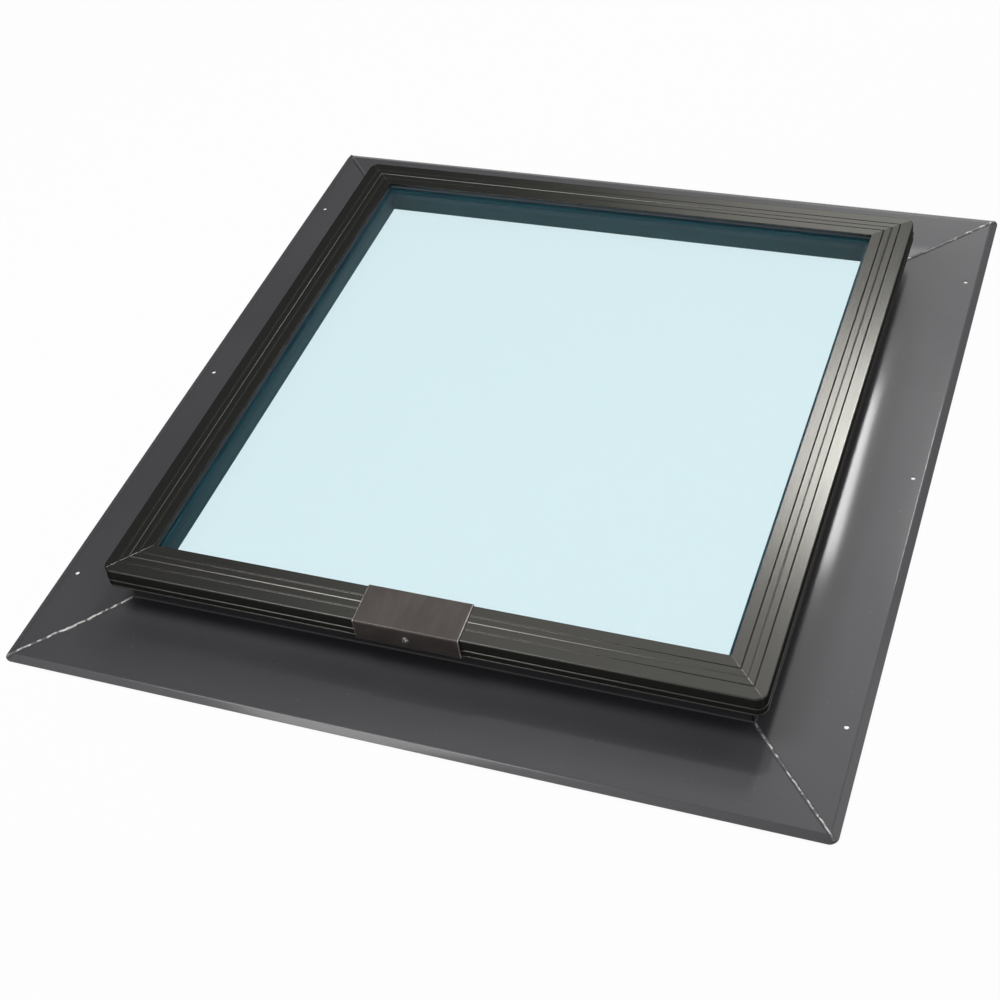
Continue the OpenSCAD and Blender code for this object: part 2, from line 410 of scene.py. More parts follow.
    def close_ends(self, tests: Sequence[Test]) -> None:
        """Fills, in edit mode, each open end that a test picks out.

        Args:
            tests: One test for each end.
        """
        for test in tests:
            self.select(test)
            bpy.ops.mesh.edge_face_add()

    def make_solid(self) -> None:
        """Merges doubles and turns the faces of a closed piece outward."""
        self.edit()
        bpy.ops.mesh.remove_doubles(threshold=TOUCH / 10)
        bpy.ops.mesh.normals_make_consistent(inside=False)
        self.activate()

    def face_up(self) -> None:
        """Turns the faces of an open sheet so that its widest part faces upward."""
        self.activate()
        lean = sum(face.normal.z * face.area for face in self.obj.data.polygons)
        if lean < 0:
            self.edit()
            bpy.ops.mesh.flip_normals()
            self.activate()

    def modify(self, kind: str, **settings: object) -> None:
        """Adds one modifier to the piece and applies it.

        Args:
            kind: Blender's name for the modifier.
            **settings: Values of the modifier.
        """
        self.activate()
        modifier = self.obj.modifiers.new(kind.title(), kind)
        for key, value in settings.items():
            setattr(modifier, key, value)
        bpy.ops.object.modifier_apply(modifier=modifier.name)

    def lift(self, weight: Callable[[Vector], float], height: float, **settings: object) -> None:
        """Lifts the piece by a share of a height that differs from place to place.

        Args:
            weight: Share of the height at a place.
            height: The full height.
            **settings: Other values of the modifier, such as a texture.
        """
        group = self.obj.vertex_groups.new(name="lift")
        for vertex in self.obj.data.vertices:
            group.add([vertex.index], weight(vertex.co), "REPLACE")
        self.modify(
            "DISPLACE", direction="Z", mid_level=0.0, strength=height, vertex_group=group.name, **settings
        )
        self.obj.vertex_groups.clear()

    def round_edges(self, width: float, segments: int = 2, degrees: float = 40) -> None:
        """Takes the sharpness off the piece's edges.

        Args:
            width: Width of the rounding.
            segments: Number of steps across it.
            degrees: Angle from which an edge counts as sharp.
        """
        self.modify(
            "BEVEL",
            width=width,
            segments=segments,
            limit_method="ANGLE",
            angle_limit=math.radians(degrees),
            harden_normals=False,
        )

    def subtract(self, cutter: "Workpiece") -> None:
        """Cuts another piece out of this one and removes it.

        Args:
            cutter: The piece that is cut out.
        """
        self.modify("BOOLEAN", operation="DIFFERENCE", solver="EXACT", object=cutter.obj)
        bpy.data.objects.remove(cutter.obj)

    def join(self, others: Sequence["Workpiece"]) -> None:
        """Joins other pieces into this one.

        Args:
            others: The pieces that are taken in.
        """
        self.activate()
        for other in others:
            other.obj.select_set(True)
        bpy.ops.object.join()

    def smooth(self, degrees: float = 32) -> None:
        """Shades the piece smooth across edges flatter than an angle in degrees."""
        self.activate()
        bpy.ops.object.shade_smooth_by_angle(angle=math.radians(degrees))

    def flatten_shading(self) -> None:
        """Weights the shading by area, so that wide faces look flat beside their rounded edges."""
        self.modify("WEIGHTED_NORMAL", mode="FACE_AREA", weight=100, keep_sharp=True)

    def dress(self, material: bpy.types.Material, slot: str, nodes: Sequence[str]) -> None:
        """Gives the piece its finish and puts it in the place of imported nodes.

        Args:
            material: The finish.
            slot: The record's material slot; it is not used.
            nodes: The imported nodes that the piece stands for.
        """
        self.obj.data.materials.clear()
        self.obj.data.materials.append(material)
        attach(self.obj, BODY)
        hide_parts(*nodes)
        LOG.info("%s: %d faces, in place of %s", self.obj.name, len(self.obj.data.polygons), ", ".join(nodes))


def mitred_run(layout: Layout, side: Side, name: str, section: Section, overrun: float) -> Workpiece:
    """Builds one side of a ring that is mitred at its corners.

    Args:
        layout: Places that the pieces share.
        side: The side that it runs along.
        name: Name of the piece.
        section: Closed section of the ring.
        overrun: Length past the clear opening before the mitres are cut.

    Returns:
        The length as a closed solid.
    """
    reach = layout.half_run(side) + overrun
    piece = Workpiece.line(name, [layout.spot(side, -reach, u, z) for u, z in section], closed=True)
    piece.sweep(side.along * 2 * reach)
    for end in (-1, 1):
        corner = layout.spot(side, end * layout.half_run(side), 0, 0)
        piece.cut(corner, side.along * end - side.outward, fill=True)
    piece.make_solid()
    return piece


class FinishSheet:
    """The node tree of one finish, with short calls for the nodes that finishes share."""

    def __init__(self, name: str) -> None:
        """Starts a material with its Principled shader.

        Args:
            name: Name of the material.
        """
        self.material = bpy.data.materials.new(name)
        self.material.use_nodes = True
        self.tree = self.material.node_tree
        self.shader = self.tree.nodes["Principled BSDF"]
        self.place = self.add("ShaderNodeTexCoord").outputs["Object"]

    def add(self, kind: str, **settings: object) -> bpy.types.Node:
        """Adds a node and sets its options.

        Args:
            kind: Blender's name for the node.
            **settings: Options of the node.

        Returns:
            The new node.
        """
        node = self.tree.nodes.new(kind)
        for key, value in settings.items():
            setattr(node, key, value)
        return node

    def feed(self, target: bpy.types.NodeSocket, source: object) -> None:
        """Links a socket to another, or sets it to a constant.

        Args:
            target: The input socket.
            source: An output socket, a number or a colour.
        """
        if isinstance(source, bpy.types.NodeSocket):
            self.tree.links.new(source, target)
        elif isinstance(source, tuple) and len(source) == 3 and len(target.default_value) == 4:
            target.default_value = (*source, 1.0)
        else:
            target.default_value = source

    def set(self, **sockets: object) -> None:
        """Feeds the shader's sockets, named with underscores for spaces.

        Args:
            **sockets: Constants or output sockets.
        """
        for name, source in sockets.items():
            self.feed(self.shader.inputs[name.replace("_", " ")], source)

    def math(self, operation: str, first: object, second: object = 0.0) -> bpy.types.NodeSocket:
        """Adds a Math node and returns its result.

        Args:
            operation: Blender's name for the operation.
            first: First operand.
            second: Second operand.

        Returns:
            The result's socket.
        """
        node = self.add("ShaderNodeMath", operation=operation)
        self.feed(node.inputs[0], first)
        self.feed(node.inputs[1], second)
        return node.outputs[0]

    def stretched(self, scale: tuple[float, float, float]) -> bpy.types.NodeSocket:
        """Object coordinates scaled by different amounts along the axes.

        Args:
            scale: Scale along each axis.

        Returns:
            The scaled coordinates.
        """
        node = self.add("ShaderNodeMapping")
        self.feed(node.inputs["Vector"], self.place)
        node.inputs["Scale"].default_value = scale
        return node.outputs["Vector"]

    def noise(
        self, scale: float, detail: float = 3.0, place: bpy.types.NodeSocket | None = None
    ) -> bpy.types.NodeSocket:
        """Adds a noise pattern on object coordinates.

        Args:
            scale: Repeats in a metre.
            detail: Octaves of finer noise.
            place: Other coordinates for the pattern.

        Returns:
            The pattern's value.
        """
        node = self.add("ShaderNodeTexNoise")
        self.feed(node.inputs["Vector"], place or self.place)
        node.inputs["Scale"].default_value = scale
        node.inputs["Detail"].default_value = detail
        return node.outputs["Fac"]

    def level(
        self, source: object, low: float, high: float, start: float = 0.3, end: float = 0.7
    ) -> bpy.types.NodeSocket:
        """Maps a pattern's value to another range, with its ends clamped.

        Args:
            source: The pattern's value.
            low: Result at the start of the range.
            high: Result at its end.
            start: Value that gives the low result.
            end: Value that gives the high result.

        Returns:
            The mapped value.
        """
        node = self.add("ShaderNodeMapRange")
        for name, value in zip(
            ("Value", "From Min", "From Max", "To Min", "To Max"), (source, start, end, low, high)
        ):
            self.feed(node.inputs[name], value)
        return node.outputs["Result"]

    def blend(self, share: object, first: object, second: object) -> bpy.types.NodeSocket:
        """Mixes two colours.

        Args:
            share: Share of the second colour.
            first: First colour.
            second: Second colour.

        Returns:
            The mixed colour.
        """
        node = self.add("ShaderNodeMix", data_type="RGBA")
        self.feed(node.inputs[0], share)
        self.feed(node.inputs[6], first)
        self.feed(node.inputs[7], second)
        return node.outputs[2]

    def bump(
        self, height: bpy.types.NodeSocket, strength: float, distance: float, under: object = None
    ) -> bpy.types.NodeSocket:
        """Adds relief from a pattern.

        Args:
            height: The pattern's value.
            strength: Share of the relief that shows.
            distance: Height of the relief.
            under: Normal of coarser relief under it.

        Returns:
            The normal with the relief.
        """
        node = self.add("ShaderNodeBump")
        node.inputs["Strength"].default_value = strength
        node.inputs["Distance"].default_value = distance
        self.feed(node.inputs["Height"], height)
        if under is not None:
            self.feed(node.inputs["Normal"], under)
        return node.outputs["Normal"]


class Finish(ABC):
    """A finish that builds its own material."""

    @abstractmethod
    def build(self) -> bpy.types.Material:
        """Builds the finish's material."""


@dataclass(frozen=True)
class CoatedSheet(Finish):
    """Glossy charcoal coat on the flashing: faint mottling, orange peel and scattered dust."""

    tone: Colour = (0.035, 0.033, 0.039)
    pale_tone: Colour = (0.044, 0.042, 0.048)
    dust_tone: Colour = (0.14, 0.135, 0.135)
    peel_height: float = 0.2 * MM
    grain_height: float = 0.1 * MM

    def build(self) -> bpy.types.Material:
        """Builds the coat."""
        sheet = FinishSheet("flashing_coat")
        mottle = sheet.noise(7.0, 5.0)
        grain = sheet.noise(420.0, 2.0)
        dust = sheet.level(sheet.noise(160.0, 1.0), 0.0, 0.2, 0.72, 0.82)
        coat = sheet.blend(sheet.level(mottle, 0.0, 1.0), self.tone, self.pale_tone)
        grained = sheet.blend(sheet.level(grain, 0.0, 0.3), coat, self.tone)
        smear = sheet.level(sheet.noise(3.0, 4.0), 0.44, 0.50)
        peel = sheet.bump(sheet.noise(230.0, 2.0), 0.06, self.peel_height)
        sheet.set(
            Base_Color=sheet.blend(dust, grained, self.dust_tone),
            Roughness=smear,
            Specular_IOR_Level=0.5,
            Coat_Weight=0.4,
            Coat_Roughness=0.11,
            Normal=sheet.bump(grain, 0.08, self.grain_height, peel),
        )
        return sheet.material


@dataclass(frozen=True)
class BrushedBronze(Finish):
    """Dark bronze anodised extrusion, brushed lengthwise along each side of the frame."""

    half_w: float
    half_l: float
    tone: Colour = (0.070, 0.070, 0.065)
    warm_tone: Colour = (0.082, 0.080, 0.073)
    line_scale: float = 1600.0
    line_stretch: float = 0.008
    line_height: float = 0.03 * MM
    spread: float = 0.42
    seam_tone: Colour = (0.24, 0.23, 0.22)
    seam_width: float = 0.8 * MM
    edge_tint: Colour = (0.22, 0.22, 0.22)

    def build(self) -> bpy.types.Material:
        """Builds the anodised finish."""
        sheet = FinishSheet("cap_anodised")
        split = sheet.add("ShaderNodeSeparateXYZ")
        sheet.feed(split.inputs[0], sheet.place)
        past_w = sheet.math("SUBTRACT", sheet.math("ABSOLUTE", split.outputs["X"]), self.half_w)
        past_l = sheet.math("SUBTRACT", sheet.math("ABSOLUTE", split.outputs["Y"]), self.half_l)
        on_sides = sheet.math("GREATER_THAN", past_w, past_l)
        across = sheet.noise(self.line_scale, 2.0, sheet.stretched((self.line_stretch, 1, 1)))
        lengthwise = sheet.noise(self.line_scale, 2.0, sheet.stretched((1, self.line_stretch, 1)))
        pick = sheet.add("ShaderNodeMix", data_type="FLOAT")
        for socket, source in zip(pick.inputs[:1] + pick.inputs[2:4], (on_sides, across, lengthwise)):
            sheet.feed(socket, source)
        lines = pick.outputs[0]
        over_lines = sheet.add("ShaderNodeCombineXYZ")
        sheet.feed(over_lines.inputs["X"], on_sides)
        sheet.feed(over_lines.inputs["Y"], sheet.math("SUBTRACT", 1.0, on_sides))
        over_lines.inputs["Z"].default_value = 1.0
        cloud = sheet.level(sheet.noise(9.0, 4.0), 0.0, 1.0)
        lined = sheet.blend(sheet.level(lines, 0.0, 0.45), self.tone, self.warm_tone)
        clouded = sheet.blend(sheet.math("MULTIPLY", cloud, 0.4), lined, self.warm_tone)
        off_mitre = sheet.math("ABSOLUTE", sheet.math("SUBTRACT", past_w, past_l))
        seam = sheet.level(off_mitre, 1.0, 0.0, self.seam_width * 0.4, self.seam_width * 0.6)
        rubbed = sheet.level(sheet.noise(120.0, 3.0), 0.15, 1.0, 0.38, 0.62)
        sheet.set(
            Base_Color=sheet.blend(sheet.math("MULTIPLY", seam, rubbed), clouded, self.seam_tone),
            Specular_Tint=self.edge_tint,
            Metallic=0.85,
            Roughness=sheet.level(lines, 0.21, 0.25),
            Anisotropic=self.spread,
            Tangent=over_lines.outputs["Vector"],
            Normal=sheet.bump(lines, 0.008, self.line_height),
        )
        return sheet.material


@dataclass(frozen=True)
class CoverCoat(Finish):
    """Brown-grey satin coat on the splice cover, with faint rubbed marks and pale edge strips: bare cut metal
    at the two ends and along the hem, and a painted highlight along the back fold.
    """

    low: Vector
    high: Vector
    tone: Colour = (0.078, 0.066, 0.060)
    rubbed_tone: Colour = (0.125, 0.112, 0.105)
    edge_bare_and_highlight_tone: Colour = (0.62, 0.59, 0.57)
    edge_width: float = 0.9 * MM
    grain_height: float = 0.08 * MM

    def near(
        self, sheet: FinishSheet, place: bpy.types.NodeSocket, edge: float, width: float
    ) -> bpy.types.NodeSocket:
        """Marks a strip along a straight edge.

        Args:
            sheet: The finish's node tree.
            place: Coordinate across the edge.
            edge: Where the edge lies.
            width: Width of the strip.

        Returns:
            One at the edge, zero beyond the strip.
        """
        gap = sheet.math("ABSOLUTE", sheet.math("SUBTRACT", place, edge))
        return sheet.level(gap, 1.0, 0.0, width * 0.7, width)

    def build(self) -> bpy.types.Material:
        """Builds the coat."""
        sheet = FinishSheet("cover_coat")
        split = sheet.add("ShaderNodeSeparateXYZ")
        sheet.feed(split.inputs[0], sheet.place)
        along, across, up = split.outputs
        # Pale edge strips: bare cut metal at the two ends and along the hem, and a painted highlight along the
        # back fold at high.y.
        worn = self.near(sheet, along, self.high.x, self.edge_width)
        for place, edge, width in (
            (along, self.low.x, self.edge_width * 0.4),
            (across, self.high.y, self.edge_width),
            (up, self.low.z, self.edge_width),
        ):
            worn = sheet.math("MAXIMUM", worn, self.near(sheet, place, edge, width))
        patchy = sheet.level(sheet.noise(180.0, 3.0), 0.45, 1.0, 0.35, 0.6)
        marks = sheet.level(sheet.noise(60.0, 6.0, sheet.stretched((1, 0.35, 1))), 0.0, 0.6, 0.45, 0.75)
        grain = sheet.noise(700.0, 2.0)
        coat = sheet.blend(marks, self.tone, self.rubbed_tone)
        sheet.set(
            Base_Color=sheet.blend(sheet.math("MULTIPLY", worn, patchy), coat, self.edge_bare_and_highlight_tone),
            Metallic=0.55,
            Roughness=sheet.level(grain, 0.30, 0.42),
            Normal=sheet.bump(grain, 0.10, self.grain_height),
        )
        return sheet.material


@dataclass(frozen=True)
class WeldMetal(Finish):
    """Painted weld bead, with a crest that is rubbed down to bare bright metal."""

    name: str
    across: Vector
    offset: float
    bare_width: float
    bare_share: float
    paint_tone: Colour
    metal_tone: Colour = (0.60, 0.59, 0.57)
    ripple_height: float = 0.3 * MM

    def build(self) -> bpy.types.Material:
        """Builds the painted and bare metal."""
        sheet = FinishSheet(self.name)
        aside = sheet.add("ShaderNodeVectorMath", operation="DOT_PRODUCT")
        sheet.feed(aside.inputs[0], sheet.place)
        aside.inputs[1].default_value = tuple(self.across)
        wander = sheet.math("MULTIPLY", sheet.level(sheet.noise(70.0, 2.0), -0.5, 0.5), self.bare_width)
        drift = sheet.math("ADD", sheet.math("SUBTRACT", aside.outputs["Value"], self.offset), wander)
        crest = sheet.level(
            sheet.math("ABSOLUTE", drift), 1.0, 0.0, self.bare_width * 0.35, self.bare_width * 0.65
        )
        threshold = 0.70 - 0.4 * self.bare_share
        patches = sheet.level(sheet.noise(160.0, 4.0), 0.0, 1.0, threshold - 0.04, threshold + 0.04)
        bare = sheet.math("MULTIPLY", crest, patches)
        ripples = sheet.noise(650.0, 2.0)
        sheet.set(
            Base_Color=sheet.blend(bare, self.paint_tone, self.metal_tone),
            Metallic=sheet.math("MULTIPLY", bare, 0.3),
            Roughness=sheet.level(ripples, 0.35, 0.55),
            Normal=sheet.bump(ripples, 0.5, self.ripple_height),
        )
        return sheet.material


@dataclass(frozen=True)
class TintedGlass(Finish):
    """Clear float glass with a pale blue-green tint and a trace of dust."""

    tint: Colour = (0.838, 0.936, 0.958)
    haze_tone: Colour = (0.85, 0.94, 0.96)

    def build(self) -> bpy.types.Material:
        """Builds the glass."""
        sheet = FinishSheet("pane_glass")
        haze = sheet.level(sheet.noise(5.0, 3.0), 0.0, 1.0)
        sheet.set(
            Base_Color=sheet.blend(sheet.math("MULTIPLY", haze, 0.1), self.tint, self.haze_tone),
            Roughness=0.0,
            IOR=1.35,
            Specular_Tint=(0.0, 0.0, 0.0),
            Transmission_Weight=1.0,
        )
        return sheet.material


@dataclass(frozen=True)
class Rubber(Finish):
    """Dark rubber or sealant with a dull, slightly uneven skin."""

    name: str
    tone: Colour
    worn_tone: Colour
    roughness: float
    skin_height: float = 0.15 * MM

    def build(self) -> bpy.types.Material:
        """Builds the skin."""
        sheet = FinishSheet(self.name)
        skin = sheet.noise(240.0, 3.0)
        sheet.set(
            Base_Color=sheet.blend(sheet.level(skin, 0.0, 1.0), self.tone, self.worn_tone),
            Roughness=sheet.level(skin, self.roughness - 0.06, self.roughness + 0.06),
            Normal=sheet.bump(skin, 0.25, self.skin_height),
        )
        return sheet.material


@dataclass(frozen=True)
class LinerPlastic(Finish):
    """Dark extruded plastic of the liner, with faint drawing lines along its height."""

    tone: Colour = (0.026, 0.100, 0.114)
    pale_tone: Colour = (0.040, 0.130, 0.146)
    line_height: float = 0.08 * MM

    def build(self) -> bpy.types.Material:
        """Builds the plastic."""
        sheet = FinishSheet("liner_plastic")
        lines = sheet.noise(700.0, 2.0, sheet.stretched((0.01, 0.01, 1)))
        cloud = sheet.noise(14.0, 3.0)
        sheet.set(
            Base_Color=sheet.blend(sheet.level(cloud, 0.0, 0.6), self.tone, self.pale_tone),
            Roughness=sheet.level(lines, 0.38, 0.5),
            Specular_IOR_Level=0.08,
            Normal=sheet.bump(lines, 0.15, self.line_height),
        )
        return sheet.material


@dataclass(frozen=True)
class SpacerBar(Finish):
    """Rolled aluminium spacer with a fine rolled grain."""

    tone: Colour = (0.028, 0.085, 0.105)
    dull_tone: Colour = (0.020, 0.065, 0.082)

    def build(self) -> bpy.types.Material:
        """Builds the rolled metal."""
        sheet = FinishSheet("spacer_metal")
        grain = sheet.noise(500.0, 2.0, sheet.stretched((0.02, 0.02, 1)))
        sheet.set(
            Base_Color=sheet.blend(sheet.level(grain, 0.0, 1.0), self.tone, self.dull_tone),
            Roughness=sheet.level(grain, 0.5, 0.65),
            Specular_IOR_Level=0.08,
        )
        return sheet.material


@dataclass(frozen=True)
class ScrewCoat(Finish):
    """Black zinc coat on the screw, worn to metal in places."""

    tone: Colour = (0.16, 0.155, 0.15)
    worn_tone: Colour = (0.62, 0.61, 0.59)

    def build(self) -> bpy.types.Material:
        """Builds the coat."""
        sheet = FinishSheet("screw_coat")
        wear = sheet.level(sheet.noise(900.0, 3.0), 0.0, 1.0, 0.46, 0.60)
        sheet.set(
            Base_Color=sheet.blend(wear, self.tone, self.worn_tone),
            Metallic=0.8,
            Roughness=sheet.level(wear, 0.34, 0.22, 0.0, 1.0),
        )
        return sheet.material


@dataclass(frozen=True)
class StudioFloor(Finish):
    """Pale floor that is white to the camera, to reflections and through glass, with a faint shadow."""

    tone: Colour = (0.82, 0.82, 0.82)
    mottle_tone: Colour = (0.8, 0.8, 0.8)
    lit_share: float = 0.06

    def build(self) -> bpy.types.Material:
        """Builds the floor."""
        sheet = FinishSheet("studio_floor")
        mottle = sheet.level(sheet.noise(2.0), 0.0, 1.0)
        path = sheet.add("ShaderNodeLightPath")
        seen = sheet.math("MAXIMUM", path.outputs["Is Camera Ray"], path.outputs["Is Glossy Ray"])
        shown = sheet.math("MAXIMUM", seen, path.outputs["Is Transmission Ray"])
        sheet.set(
            Base_Color=sheet.blend(sheet.math("MULTIPLY", mottle, 0.05), self.tone, self.mottle_tone),
            Roughness=0.9,
            Specular_IOR_Level=0.1,
        )
        glow = sheet.add("ShaderNodeEmission")
        glow.inputs["Strength"].default_value = 1.0
        sheet.feed(glow.inputs["Color"], (1.0, 1.0, 1.0))
        mix = sheet.add("ShaderNodeMixShader")
        sheet.feed(mix.inputs[0], sheet.math("MULTIPLY", shown, 1 - self.lit_share))
        sheet.feed(mix.inputs[1], sheet.shader.outputs[0])
        sheet.feed(mix.inputs[2], glow.outputs[0])
        sheet.feed(sheet.tree.nodes["Material Output"].inputs["Surface"], mix.outputs[0])
        return sheet.material


@dataclass
class SheetWaviness:
    """Slow waviness of the flange, shared by the sheets and the welds on them."""

    height: float = 0.8 * MM
    length: float = 0.30
    texture: bpy.types.Texture | None = None

    def apply(self, piece: Workpiece, weight: Callable[[Vector], float]) -> None:
        """Lifts a piece with the waviness.

        Args:
            piece: The piece that is lifted.
            weight: Share of the waviness at a place.
        """
        if self.texture is None:
            self.texture = bpy.data.textures.new("flange_waviness", "CLOUDS")
            self.texture.noise_scale = self.length
            self.texture.noise_depth = 0
        piece.lift(weight, self.height, texture=self.texture, texture_coords="LOCAL")


@dataclass
class FlashingSheet:
    """One of the four flashing sheets: kicked edge, flange, curb and outward return."""

    layout: Layout
    side: Side
    waviness: SheetWaviness
    kick_run: float = 7.2 * MM
    kick_rounding: float = 1.2 * MM
    return_width: float = 11.4 * MM
    return_radius: float = 7 * MM
    tip_radius: float = 8 * MM
    nail_diameter: float = 4.5 * MM
    nail_inset: float = 10 * MM
    nail_pitch: float = 310 * MM
    drill_length_share: float = 4
    drill_facets: int = 32
    edge_rounding: float = 0.25 * MM
    sweep_start: float = 67 * MM
    sweep_end: float = 44 * MM
    sweep_angle: float = 5.5
    sweep_steps: int = 6
    flat_steps: int = 3
    run_steps: int = 32
    corner_planes: int = 5
    still_width: float = 8 * MM
    wavy_width: float = 60 * MM

    @property
    def node(self) -> str:
        """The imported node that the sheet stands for."""
        return f"flashing_{self.side.name.lower()}"

    @property
    def reach(self) -> float:
        """Place of the edge fold."""
        return self.layout.edge_u(self.side) - self.kick_run

    @property
    def return_u(self) -> float:
        """Place of the return's edge."""
        return self.layout.curb_u + self.return_width

    def face_z(self, u: float) -> float:
        """Height of the flange's face, which sweeps up slightly on its way to the curb."""
        slope = math.tan(math.radians(self.sweep_angle))
        inward = max(0.0, self.sweep_start - u)
        length = self.sweep_start - self.sweep_end
        curved = min(inward, length)
        return self.layout.flange_z + slope * (curved**2 / (2 * length) + inward - curved)

    def section(self) -> Section:
        """Visible face of the sheet, from the kicked edge to the return."""
        lay = self.layout
        flat = self.reach - self.sweep_start
        curved = self.sweep_start - self.sweep_end
        places = [self.reach - flat * step / self.flat_steps for step in range(self.flat_steps)]
        steps = range(self.sweep_steps + 1)
        places += [self.sweep_start - curved * step / self.sweep_steps for step in steps]
        flange = [(u, self.face_z(u)) for u in [*places, lay.curb_u]]
        kick = [(lay.edge_u(self.side), lay.sheet)]
        return kick + flange + [(lay.curb_u, lay.return_z), (self.return_u, lay.return_z)]

    def trim_corner(
        self,
        piece: Workpiece,
        end: int,
        outer_u: float,
        next_u: float,
        radius: float,
        where: Test | None = None,
    ) -> None:
        """Rounds one corner of the sheet's outline.

        Args:
            piece: The sheet, in edit mode.
            end: Which end of the side, -1 or 1.
            outer_u: Place of the outline on this side.
            next_u: Place of the outline on the neighbouring side.
            radius: Radius of the corner.
            where: Limits the cuts to what lies where the test holds.
        """
        lay = self.layout
        centre = lay.spot(self.side, end * (lay.half_run(self.side) + next_u - radius), outer_u - radius, 0)
        piece.round_corner(self.side, end, centre, radius, self.corner_planes, where=where)

    def mitre(self, piece: Workpiece, end: int) -> None:
        """Cuts one end along the mitre, from the curb's corner to the flange's tip.

        Args:
            piece: The sheet, in edit mode.
            end: Which end of the side, -1 or 1.
        """
        lay = self.layout
        ratio = (lay.edge_u(self.side.next) - lay.curb_u) / (lay.edge_u(self.side) - lay.curb_u)
        pivot = lay.spot(self.side, end * (lay.half_run(self.side) + lay.curb_u), lay.curb_u, 0)
        piece.cut(pivot, self.side.along * end - self.side.outward * ratio)

    def drill(self, piece: Workpiece) -> None:
        """Drills the nail holes along the flange.

        Args:
            piece: The finished sheet.
        """
        lay = self.layout
        length = UP * lay.flange_z * self.drill_length_share
        drills = []
        for step in (-1, 0, 1):
            foot = lay.spot(self.side, step * self.nail_pitch, self.reach - self.nail_inset, -lay.flange_z)
            drills.append(
                Workpiece.cylinder("drill", foot, foot + length, self.nail_diameter / 2, self.drill_facets)
            )
        drills[0].join(drills[1:])
        piece.subtract(drills[0])

    def flange_weight(self, co: Vector) -> float:
        """Share of the waviness at a place, none beside the curb and all of it further out."""
        past = self.layout.outward_of(self.side, co) - self.layout.curb_u - self.still_width
        return max(0.0, min(1.0, past / self.wavy_width))

    def build(self) -> Workpiece:
        """Builds the sheet."""
        lay, side = self.layout, self.side
        edge, next_edge = lay.edge_u(side), lay.edge_u(side.next)
        run = lay.half_run(side) + next_edge + self.kick_run
        piece = Workpiece.line(self.node + "_sheet", [lay.spot(side, -run, u, z) for u, z in self.section()])
        piece.sweep(side.along * (2 * run / self.run_steps), self.run_steps)
        piece.fold(lay.on_fold(side, self.reach, lay.flange_z), self.kick_rounding)
        piece.fold(lay.on_fold(side, lay.curb_u, self.face_z(lay.curb_u)), lay.curb_bend)
        piece.fold(lay.on_fold(side, lay.curb_u, lay.return_z), lay.curb_bend)
        for end in (-1, 1):
            self.mitre(piece, end)
            self.trim_corner(piece, end, edge, next_edge, self.tip_radius)
            self.trim_corner(
                piece, end, self.return_u, self.return_u, self.return_radius,
                where=lambda co: co.z > lay.return_z - lay.curb_bend / 2,
            )
        piece.face_up()
        self.waviness.apply(piece, self.flange_weight)
        piece.modify("SOLIDIFY", thickness=lay.sheet, offset=-1.0, use_even_offset=True)
        if not side.is_end:
            self.drill(piece)
        piece.round_edges(self.edge_rounding)
        piece.smooth()
        piece.flatten_shading()
        return piece


